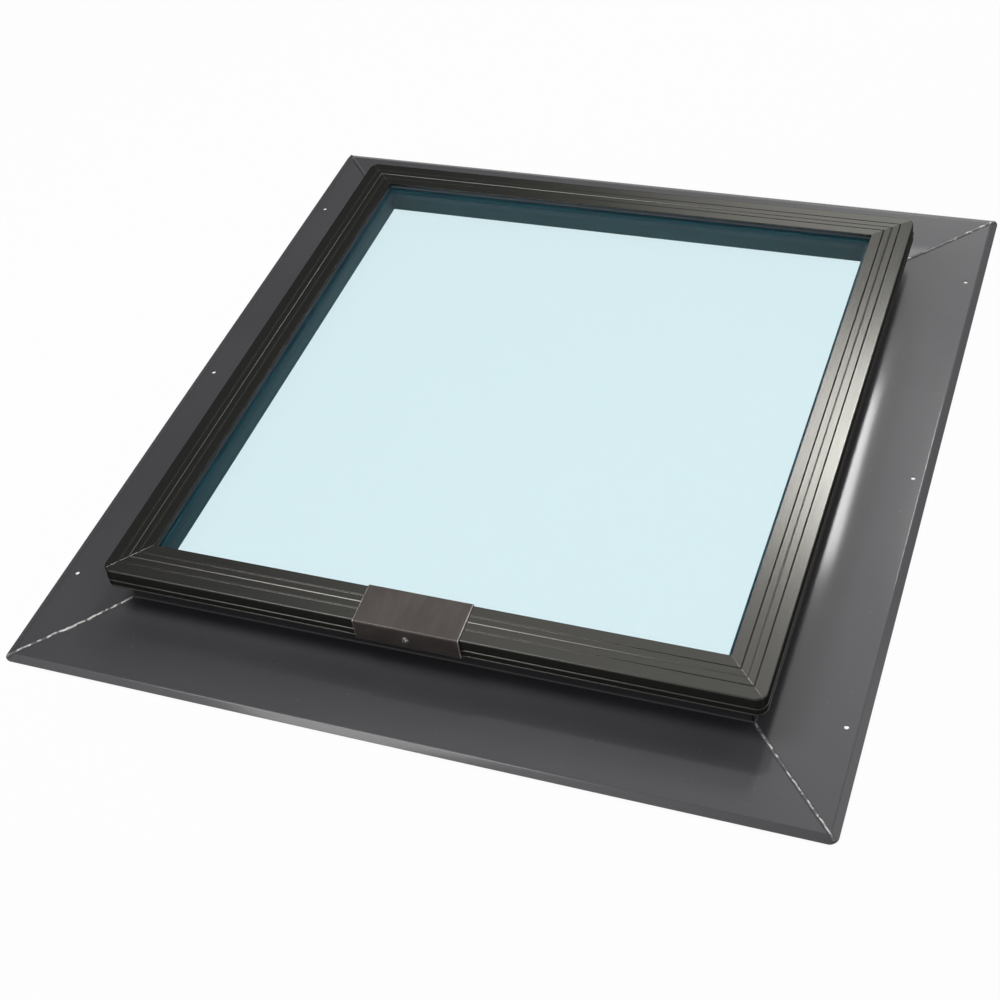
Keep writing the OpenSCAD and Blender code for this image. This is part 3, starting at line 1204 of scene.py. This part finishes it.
@dataclass
class CornerWeld:
    """Bead along the mitre between one flashing sheet and the next, run out over the kicked edge."""

    layout: Layout
    side: Side
    node: str
    waviness: SheetWaviness
    radius: float = 2.4 * MM
    sink: float = 1.2 * MM
    bed: float = 0.5 * MM
    kick_run: float = 7.2 * MM
    kick_drop: float = 2.8 * MM
    tip_gap: float = 4.4 * MM
    lumps: float = 0.9 * MM
    lump_length: float = 5 * MM
    facets: int = 12
    step: float = 1.2 * MM
    smoothing: float = 60

    @property
    def corner(self) -> Vector:
        """The curb's corner, from which the mitre runs out."""
        lay = self.layout
        return lay.spot(self.side, lay.half_run(self.side) + lay.curb_u, lay.curb_u, lay.flange_z)

    @property
    def span(self) -> Vector:
        """The mitre, from the curb's corner to the flange's tip."""
        lay = self.layout
        run_x = lay.edge_u(self.side.next) - lay.curb_u
        run_y = lay.edge_u(self.side) - lay.curb_u
        return self.side.along * run_x + self.side.outward * run_y

    @property
    def across(self) -> Vector:
        """Direction across the bead."""
        return UP.cross(self.span.normalized())

    def sheet(self) -> FlashingSheet:
        """The flashing sheet on which the bead lies."""
        return FlashingSheet(self.layout, self.side, self.waviness)

    def build(self) -> Workpiece:
        """Builds the bead."""
        lay, direction = self.layout, self.span.normalized()
        fold_share = 1 - self.kick_run / (lay.edge_u(self.side) - lay.curb_u)
        start_gap = self.radius
        flat_end = self.span.length * fold_share
        low = math.degrees(math.asin((self.sink - self.bed) / self.radius))
        section = arc((0, -self.sink), self.radius, low, 180 - low, self.facets)
        start = self.corner + direction * start_gap
        first = [start + self.across * v + UP * z for v, z in section]
        piece = Workpiece.line(self.node + "_bead", first, closed=True)
        flat_count = round((flat_end - start_gap) / self.step)
        piece.sweep(direction * ((flat_end - start_gap) / flat_count), flat_count)
        tip_run = self.span.length - flat_end - self.tip_gap
        fall = self.kick_drop / (self.span.length - flat_end)
        tip_count = math.ceil(tip_run / self.step)
        piece.sweep((direction - UP * fall) * (tip_run / tip_count), tip_count)
        last = start + direction * (flat_end - start_gap + tip_run)
        piece.close_ends(
            [lambda co, at=at: abs((co - at).dot(direction)) < TOUCH for at in (start, last)]
        )
        piece.make_solid()
        texture = bpy.data.textures.new("weld_lumps", "CLOUDS")
        texture.noise_scale = self.lump_length
        piece.modify(
            "DISPLACE", texture=texture, texture_coords="LOCAL", direction="NORMAL", mid_level=0.5,
            strength=self.lumps,
        )
        self.lay_on_sheet(piece)
        self.waviness.apply(piece, self.sheet().flange_weight)
        piece.smooth(self.smoothing)
        return piece

    def lay_on_sheet(self, piece: Workpiece) -> None:
        """Lifts the bead's inner end with the sheet's sweep.

        Args:
            piece: The bead.
        """
        lay, sheet = self.layout, self.sheet()
        full = sheet.face_z(lay.curb_u) - lay.flange_z

        def share(co: Vector) -> float:
            """Share of the sweep at a place."""
            return (sheet.face_z(lay.outward_of(self.side, co)) - lay.flange_z) / full

        piece.lift(share, full)


@dataclass(frozen=True)
class Groove:
    """A rounded groove along the cap's top."""

    share: float
    half_width: float
    depth: float
    steps: int = 8

    def section(self, width: float) -> Section:
        """Points of the groove, as places outward and depths below the top.

        Args:
            width: Width of the cap's top.

        Returns:
            The points from the inner side to the outer side.
        """
        flat = arc((0, 0), 1, 180, 360, self.steps)
        return [(self.share * width + self.half_width * u, self.depth * rise) for u, rise in flat]


@dataclass(frozen=True)
class Notch(Groove):
    """A shallow groove with a gentle inner wall and a steeper outer wall."""

    foot_share: float = 0.33

    def section(self, width: float) -> Section:
        """Points of the notch, as places outward and depths below the top."""
        middle, reach = self.share * width, self.half_width
        foot = middle + self.foot_share * reach
        return [(middle - reach, 0), (foot, -self.depth), (middle + reach, 0)]


@dataclass
class CapFrame:
    """The cap extrusion, notched and bent round four corners and butted together at the sill."""

    layout: Layout
    grooves: tuple[Groove, ...] = (
        Groove(0.285, 0.50 * MM, 0.8 * MM),
        Notch(0.47, 0.82 * MM, 0.40 * MM),
        Groove(0.67, 0.50 * MM, 0.8 * MM),
    )
    rib_share: float = 0.61
    corner_radius: float = 10.1 * MM
    nose_radius: float = 1.2 * MM
    nose_lap: float = 0.4 * MM
    nose_lift: float = 0.03 * MM
    joint_gap: float = 1 * MM
    edge_rounding: float = 0.25 * MM
    top_smoothing: float = 12
    nose_steps: int = 6
    rib_steps: int = 8
    corner_planes: int = 5
    bend_steps: int = 10

    @property
    def top_w(self) -> float:
        """Width of the flat top, up to the rounded nose."""
        return self.layout.cap_w - self.nose_radius

    def top_section(self) -> Section:
        """Closed section of the sloping top with its grooves."""
        lay = self.layout
        points: Section = [(0, lay.cap_top(0) - lay.leg), (0, lay.cap_top(0))]
        for groove in self.grooves:
            points += [(u, lay.cap_top(u) + rise) for u, rise in groove.section(lay.cap_w)]
        points.append((self.top_w, lay.cap_top(self.top_w)))
        points.append((self.top_w, lay.cap_top(self.top_w) - lay.leg))
        return points

    def skirt_section(self) -> Section:
        """Closed section of the nose, the ribbed skirt and the hook under the curb's return."""
        lay = self.layout
        lean = math.degrees(math.atan(lay.slope))
        nose_z = lay.cap_top(self.top_w) - self.nose_radius * math.hypot(1, lay.slope)
        rib_top_z = lay.cap_top(lay.cap_w)
        rib_z = rib_top_z - self.rib_share * (rib_top_z - lay.cap_foot_z)
        inner_u = lay.cap_w - lay.cap_wall
        back_u = self.top_w - self.nose_lap
        hook_u = lay.curb_u + lay.curb_bend
        points: Section = [(back_u, lay.cap_top(back_u) + self.nose_lift)]
        nose = (self.top_w, nose_z + self.nose_lift)
        points += arc(nose, self.nose_radius, 90 - lean, 0, self.nose_steps)
        for middle in (rib_z, lay.cap_foot_z + lay.rib_radius):
            points += arc((lay.cap_w, middle), lay.rib_radius, 90, -90, self.rib_steps)
        points += [(hook_u, lay.cap_foot_z), (hook_u, lay.return_z), (inner_u, lay.return_z)]
        points += [(inner_u, lay.cap_top(inner_u) - lay.leg), (back_u, lay.cap_top(back_u) - lay.leg)]
        return points

    def build_top(self, side: Side, start: float, end: float) -> Workpiece:
        """Builds a length of the sloping top, mitred where it ends at a corner.

        Args:
            side: The side that it runs along.
            start: Where it starts along the side.
            end: Where it ends along the side.

        Returns:
            The length as a closed solid.
        """
        lay = self.layout
        reach = lay.half_run(side)
        piece = Workpiece.line(
            "cap_top", [lay.spot(side, start, u, z) for u, z in self.top_section()], closed=True
        )
        piece.sweep(side.along * (end - start))
        for sign, limit in ((-1, start), (1, end)):
            if abs(limit) < reach:
                piece.cut(lay.spot(side, limit - sign * TOUCH, 0, 0), side.along * sign, fill=True)
                continue
            piece.cut(lay.spot(side, sign * reach, 0, 0), side.along * sign - side.outward, fill=True)
            round_off = self.corner_radius - self.nose_radius
            middle = lay.cap_w - self.corner_radius
            centre = lay.spot(side, sign * (reach + middle), middle, 0)
            piece.round_corner(side, sign, centre, round_off, self.corner_planes, fill=True)
        piece.make_solid()
        piece.round_edges(self.edge_rounding)
        piece.smooth(self.top_smoothing)
        return piece

    def build_skirt(self) -> Workpiece:
        """Builds the skirt from one end of the joint, round the four corners, to the other end."""
        lay = self.layout
        middle = lay.cap_w - self.corner_radius
        half_gap = self.joint_gap / 2
        first = [lay.spot(Side.SILL, half_gap, u, z) for u, z in self.skirt_section()]
        piece = Workpiece.line("cap_skirt", first, closed=True)
        piece.sweep(Side.SILL.along * (lay.half_run(Side.SILL) + middle - half_gap))
        for side in Side:
            centre = lay.spot(side, lay.half_run(side) + middle, middle, 0)
            piece.turn(centre, QUARTER, self.bend_steps)
            run = lay.half_run(side.next) + middle
            length = run - half_gap if side.next is Side.SILL else 2 * run
            piece.sweep(side.next.along * length)
        near_sill = -lay.half_l
        piece.close_ends(
            [lambda co, x=x: abs(co.x - x) < TOUCH and co.y < near_sill for x in (half_gap, -half_gap)]
        )
        piece.make_solid()
        piece.smooth()
        return piece

    def build(self) -> Workpiece:
        """Builds the whole cap frame as one piece."""
        lay = self.layout
        skirt = self.build_skirt()
        tops = []
        for side in Side:
            reach = lay.half_run(side) + lay.cap_w + self.corner_radius
            if side is Side.SILL:
                tops.append(self.build_top(side, -reach, -self.joint_gap / 2))
                tops.append(self.build_top(side, self.joint_gap / 2, reach))
            else:
                tops.append(self.build_top(side, -reach, reach))
        skirt.join(tops)
        skirt.obj.name = "cap_extrusion"
        skirt.flatten_shading()
        return skirt


@dataclass
class CapSealant:
    """Gasket between the cap's top and the glass, with a small fillet where it meets the glass."""

    layout: Layout
    far_u: float = 11 * MM
    face_u: float = 0.6 * MM
    fillet: float = 1.2 * MM
    fillet_steps: int = 4
    smoothing: float = 50

    def section(self) -> Section:
        """Closed section of the gasket."""
        lay = self.layout
        under = [(u, lay.cap_top(u) - lay.leg) for u in (self.far_u, self.face_u)]
        centre = (self.face_u - self.fillet, lay.glass_z + self.fillet)
        toe = arc(centre, self.fillet, 0, -90, self.fillet_steps)
        return [(self.far_u, lay.glass_z), *under, *toe]

    def build(self) -> Workpiece:
        """Builds the sealant round the four sides."""
        section, overrun = self.section(), self.far_u + self.fillet
        runs = [mitred_run(self.layout, side, "cap_sealant", section, overrun) for side in Side]
        runs[0].join(runs[1:])
        runs[0].smooth(self.smoothing)
        return runs[0]


@dataclass
class SpacerRing:
    """Rolled bar between the panes, with rounded edges and mitred corners."""

    layout: Layout
    low: Vector
    high: Vector
    width: float = 6.5 * MM
    clearance: float = 0.1 * MM
    edge_rounding: float = 0.5 * MM

    def section(self) -> Section:
        """Closed section of the bar."""
        outer = self.high.x - self.layout.half_w
        inner = outer - self.width
        low, high = self.low.z + self.clearance, self.high.z - self.clearance
        return [(outer, low), (outer, high), (inner, high), (inner, low)]

    def build(self) -> Workpiece:
        """Builds the bar round the four sides."""
        section = self.section()
        runs = [mitred_run(self.layout, side, "spacer_run", section, self.width) for side in Side]
        for run in runs:
            run.round_edges(self.edge_rounding)
        runs[0].join(runs[1:])
        runs[0].obj.name = "spacer_bar"
        runs[0].smooth()
        return runs[0]


@dataclass
class SpliceCover:
    """Folded plate over the joint of the cap frame."""

    layout: Layout
    low: Vector
    high: Vector
    thickness: float = 1.5 * MM
    lip: float = 3.5 * MM
    hem: float = 5 * MM
    bend: float = 1.5 * MM
    edge_rounding: float = 0.3 * MM

    def section(self) -> Section:
        """Outer face of the plate, from its inner lip to its hem."""
        lay = self.layout
        front_u = -self.low.y - lay.half_l
        leg = self.thickness * math.hypot(1, lay.slope)
        return [
            (-self.thickness, lay.cap_in_z - self.lip),
            (-self.thickness, lay.cap_in_z + leg),
            (front_u, lay.cap_top(front_u) + leg),
            (front_u, self.low.z),
            (front_u - self.thickness - self.hem, self.low.z),
        ]

    def build(self) -> Workpiece:
        """Builds the plate."""
        lay = self.layout
        section = self.section()
        piece = Workpiece.line("splice_plate", [lay.spot(Side.SILL, self.low.x, u, z) for u, z in section])
        piece.sweep(Side.SILL.along * (self.high.x - self.low.x))
        for u, z in section[1:-1]:
            piece.fold(lay.on_fold(Side.SILL, u, z), self.bend)
        piece.face_up()
        piece.modify("SOLIDIFY", thickness=self.thickness, offset=-1.0, use_even_offset=True)
        piece.round_edges(self.edge_rounding, segments=3)
        piece.smooth()
        piece.flatten_shading()
        return piece


@dataclass
class SpliceScrew:
    """Domed screw with a cross recess that holds the splice cover."""

    low: Vector
    high: Vector
    cover_face: float
    shank_diameter: float = 4 * MM
    recess_width: float = 1 * MM
    recess_length: float = 4.4 * MM
    recess_depth: float = 1.2 * MM
    edge_rounding: float = 0.12 * MM
    dome_segments: int = 48
    dome_rings: int = 32
    shank_facets: int = 24
    smoothing: float = 40

    def build(self) -> Workpiece:
        """Builds the head, the shank and the recess."""
        middle = (self.low + self.high) / 2
        head_radius = (self.high.x - self.low.x) / 2
        height = self.cover_face - self.low.y
        dome = (height**2 + head_radius**2) / (2 * height)
        crown = Vector((middle.x, self.low.y, middle.z))
        inward = Vector((0, 1, 0))
        clear_selection()
        bpy.ops.mesh.primitive_uv_sphere_add(
            segments=self.dome_segments,
            ring_count=self.dome_rings,
            radius=dome,
            location=crown + inward * dome,
            rotation=(QUARTER, 0, 0),
        )
        head = Workpiece("screw_head")
        head.edit()
        head.cut(crown + inward * height, inward, fill=True)
        head.make_solid()
        slots = []
        for size in ((self.recess_length, self.recess_width), (self.recess_width, self.recess_length)):
            clear_selection()
            bpy.ops.mesh.primitive_cube_add(
                size=1, location=crown, scale=(size[0], 2 * self.recess_depth, size[1])
            )
            slots.append(Workpiece("recess"))
        for slot in slots:
            head.subtract(slot)
        head.round_edges(self.edge_rounding)
        foot = crown + inward * (height - self.edge_rounding)
        tip = Vector((middle.x, self.high.y, middle.z))
        shank = Workpiece.cylinder("screw_shank", foot, tip, self.shank_diameter / 2, self.shank_facets)
        shank.round_edges(self.recess_width / 2)
        head.join([shank])
        head.smooth(self.smoothing)
        return head


@dataclass
class PackedDress:
    """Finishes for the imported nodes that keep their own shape."""

    nodes: tuple[str, ...]
    material: bpy.types.Material

    def dress(self) -> None:
        """Puts the finish on each node."""
        for name in self.nodes:
            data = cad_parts[name].data
            data.materials.clear()
            data.materials.append(self.material)
            LOG.info("%s: packed shape with %s", name, self.material.name)


@dataclass(frozen=True)
class SoftBox:
    """A rectangular studio lamp that faces the window's middle."""

    name: str
    azimuth: float
    elevation: float
    distance: float
    width: float
    height: float
    radiance: float

    def build(self, target: Vector) -> None:
        """Places the lamp.

        Args:
            target: The point that it faces.
        """
        direction = heading(self.azimuth, self.elevation)
        lamp = bpy.data.lights.new(self.name, "AREA")
        lamp.shape = "RECTANGLE"
        lamp.size = self.width
        lamp.size_y = self.height
        lamp.energy = self.radiance * math.pi * self.width * self.height
        holder = bpy.data.objects.new(self.name, lamp)
        holder.location = target + direction * self.distance
        holder.rotation_euler = direction.to_track_quat("Z", "Y").to_euler()
        bpy.context.scene.collection.objects.link(holder)


@dataclass(frozen=True)
class Glow:
    """A soft patch of light in the world, in degrees, that fades from its core to its rim."""

    azimuth: float
    elevation: float
    core: float
    rim: float
    level: float

    def add_to(self, tree: bpy.types.NodeTree, under: bpy.types.NodeSocket) -> bpy.types.NodeSocket:
        """Adds the patch to the world's light.

        Args:
            tree: The world's node tree.
            under: Strength of the light so far.

        Returns:
            The strength with the patch.
        """
        place = tree.nodes.new("ShaderNodeTexCoord")
        nearness = tree.nodes.new("ShaderNodeVectorMath")
        nearness.operation = "DOT_PRODUCT"
        nearness.inputs[1].default_value = heading(self.azimuth, self.elevation)
        tree.links.new(place.outputs["Generated"], nearness.inputs[0])
        fade = tree.nodes.new("ShaderNodeMapRange")
        fade.interpolation_type = "SMOOTHSTEP"
        fade.inputs["From Min"].default_value = math.cos(math.radians(self.rim))
        fade.inputs["From Max"].default_value = math.cos(math.radians(self.core))
        fade.inputs["To Max"].default_value = self.level
        tree.links.new(nearness.outputs["Value"], fade.inputs["Value"])
        total = tree.nodes.new("ShaderNodeMath")
        tree.links.new(fade.outputs[0], total.inputs[0])
        tree.links.new(under, total.inputs[1])
        return total.outputs[0]


@dataclass
class Studio:
    """Camera, lamps, world and floor."""

    camera_place: tuple[float, float, float] = (0.55456, -1.20319, 1.21413)
    camera_tilt: float = 44.7708
    camera_roll: float = 7.25
    camera_heading: float = 19.8673
    lens: float = 61.585
    sensor: float = 36.0
    floor_size: float = 12.0
    world_level: float = 0.10
    glows: tuple[Glow, ...] = (
        Glow(10, 42, 10, 36, 0.55),
        Glow(-7, 25, 3, 13, 3.8),
        Glow(-18, 58, 6, 20, 0.9),
        Glow(46, 46, 4, 14, 2.4),
        Glow(-116, 66, 8, 28, 0.6),
        Glow(-75, 64, 3, 11, 0.5),
        Glow(195, 38, 15, 45, 0.45),
        Glow(100, 40, 10, 40, 0.35),
    )
    soft_boxes: tuple[SoftBox, ...] = (
        SoftBox("key_box", -116, 66, 2.45, 0.85, 0.85, 9.0),
        SoftBox("back_box", 11, 45.8, 2.65, 0.25, 0.44, 34.0),
    )

    def build(self) -> None:
        """Builds the studio round the window."""
        self.build_camera()
        self.build_world()
        for box in self.soft_boxes:
            box.build(Vector((0, 0, 0)))
        clear_selection()
        bpy.ops.mesh.primitive_plane_add(size=self.floor_size)
        floor = bpy.context.active_object
        floor.name = "floor"
        floor.data.materials.append(StudioFloor().build())
        bpy.context.scene.view_settings.view_transform = "Standard"

    def build_camera(self) -> None:
        """Places the camera at the photograph's viewpoint."""
        data = bpy.data.cameras.new("photo_camera")
        data.lens = self.lens
        data.sensor_width = self.sensor
        camera = bpy.data.objects.new("photo_camera", data)
        camera.location = self.camera_place
        camera.rotation_euler = tuple(
            math.radians(angle) for angle in (self.camera_tilt, self.camera_roll, self.camera_heading)
        )
        bpy.context.scene.collection.objects.link(camera)
        bpy.context.scene.camera = camera

    def build_world(self) -> None:
        """Lights the studio with soft glows, and shows it white to the camera and through glass."""
        world = bpy.data.worlds.new("studio")
        world.use_nodes = True
        bpy.context.scene.world = world
        tree = world.node_tree
        background = tree.nodes["Background"]
        background.inputs["Color"].default_value = (1, 1, 1, 1)
        even = tree.nodes.new("ShaderNodeValue")
        even.outputs[0].default_value = self.world_level
        strength = even.outputs[0]
        for glow in self.glows:
            strength = glow.add_to(tree, strength)
        path = tree.nodes.new("ShaderNodeLightPath")
        shown = tree.nodes.new("ShaderNodeMath")
        shown.operation = "MAXIMUM"
        tree.links.new(path.outputs["Is Camera Ray"], shown.inputs[0])
        tree.links.new(path.outputs["Is Transmission Ray"], shown.inputs[1])
        level = tree.nodes.new("ShaderNodeMapRange")
        level.inputs["To Max"].default_value = 1.0
        tree.links.new(shown.outputs[0], level.inputs["Value"])
        tree.links.new(strength, level.inputs["To Min"])
        tree.links.new(level.outputs[0], background.inputs["Strength"])


def build_flashing(layout: Layout) -> None:
    """Builds the four flashing sheets and the welds between them.

    Args:
        layout: Places that the pieces share.
    """
    waviness = SheetWaviness()
    coat = CoatedSheet().build()
    for side in Side:
        sheet = FlashingSheet(layout, side, waviness)
        sheet.build().dress(coat, "flashing", [sheet.node])
    # The dull tone used on the head-left weld is darker than the other welds' paint: it is painted shade,
    # because that seam lies in shade.
    painted, rough, dull = (0.095, 0.092, 0.098), (0.135, 0.132, 0.136), (0.045, 0.043, 0.047)
    welds = (
        (Side.LEFT, "weld_sill_left", 2.4 * MM, 0.60, painted),
        (Side.SILL, "weld_sill_right", 1.3 * MM, 0.50, painted),
        (Side.RIGHT, "weld_head_right", 3.0 * MM, 0.35, rough),
        (Side.HEAD, "weld_head_left", 1.0 * MM, 0.10, dull),
    )
    for side, node, bare_width, bare_share, tone in welds:
        weld = CornerWeld(layout, side, node, waviness)
        offset = weld.corner.dot(weld.across)
        metal = WeldMetal(node + "_metal", weld.across, offset, bare_width, bare_share, tone)
        weld.build().dress(metal.build(), "weld", [node])


def build_cap(layout: Layout) -> None:
    """Builds the cap frame, its sealant, the splice cover and its screw.

    Args:
        layout: Places that the pieces share.
    """
    bronze = BrushedBronze(layout.half_w, layout.half_l).build()
    CapFrame(layout).build().dress(bronze, "cap", ["cap_frame"])
    sealant = Rubber("cap_sealant_skin", (0.045, 0.058, 0.072), (0.060, 0.074, 0.090), 0.45).build()
    CapSealant(layout).build().dress(sealant, "gasket", ["cap_gasket"])
    cover_low, cover_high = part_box("splice_cover")
    cover_coat = CoverCoat(cover_low, cover_high).build()
    SpliceCover(layout, cover_low, cover_high).build().dress(cover_coat, "cover", ["splice_cover"])
    screw_low, screw_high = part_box("splice_screw")
    screw = SpliceScrew(screw_low, screw_high, cover_low.y)
    screw.build().dress(ScrewCoat().build(), "screw", ["splice_screw"])


def dress_glazing(layout: Layout) -> None:
    """Builds the spacer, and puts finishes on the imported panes, seals, blocks and liner.

    Args:
        layout: Places that the pieces share.
    """
    SpacerRing(layout, *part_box("glass_spacer")).build().dress(SpacerBar().build(), "spacer", ["glass_spacer"])
    sealant = Rubber("edge_seal_skin", (0.010, 0.011, 0.012), (0.020, 0.022, 0.024), 0.5)
    gasket = Rubber("bed_gasket_skin", (0.014, 0.014, 0.015), (0.025, 0.025, 0.026), 0.55)
    block = Rubber("setting_block_skin", (0.045, 0.045, 0.047), (0.065, 0.065, 0.067), 0.55)
    liners = tuple(f"liner_{side.name.lower()}" for side in Side)
    for nodes, finish in (
        (("inner_pane", "outer_pane"), TintedGlass()),
        (("edge_seal",), sealant),
        (("bed_gasket",), gasket),
        (("setting_blocks",), block),
        (liners, LinerPlastic()),
    ):
        PackedDress(nodes, finish.build()).dress()


def main() -> None:
    """Builds every piece in order, then the studio."""
    logging.basicConfig(level=logging.INFO, format="%(name)s: %(message)s")
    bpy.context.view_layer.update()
    layout = Layout.from_frame()
    build_flashing(layout)
    build_cap(layout)
    dress_glazing(layout)
    Studio().build()


if __name__ == "__main__":
    main()
